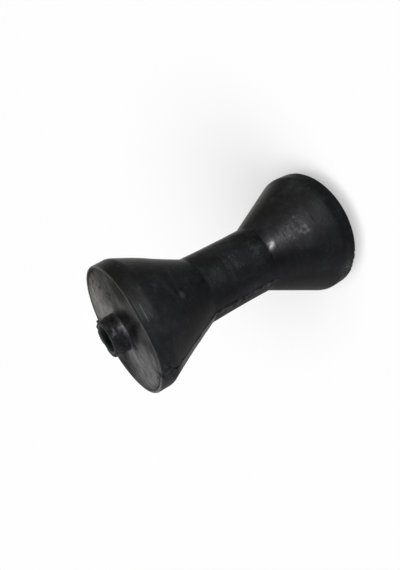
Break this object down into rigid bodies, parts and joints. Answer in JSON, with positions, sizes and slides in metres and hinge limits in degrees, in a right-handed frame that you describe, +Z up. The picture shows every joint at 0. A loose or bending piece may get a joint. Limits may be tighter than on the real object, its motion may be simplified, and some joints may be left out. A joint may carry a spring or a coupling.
{
  "type": "boat trailer roller",
  "caption": "Waisted black rubber keel roller: two flared ends, a plain barrel between them, a short hub at each end and a spindle bore right through.",
  "frame": {"origin": "centre of the lower hub's end face, on the bore's axis, where the roller stands", "axes": "+Z up along the bore's axis, towards the worn hub; the mould's parting plane holds the Z and Y axes"},
  "size_m": [0.0838, 0.0846, 0.174],
  "materials": {
    "black_rubber": "matt moulded black rubber with a dull sheen, dusty end faces and fine turning marks"
  },
  "bodies": {
    "root": {"roller": "black_rubber"}
  },
  "joints": []
}
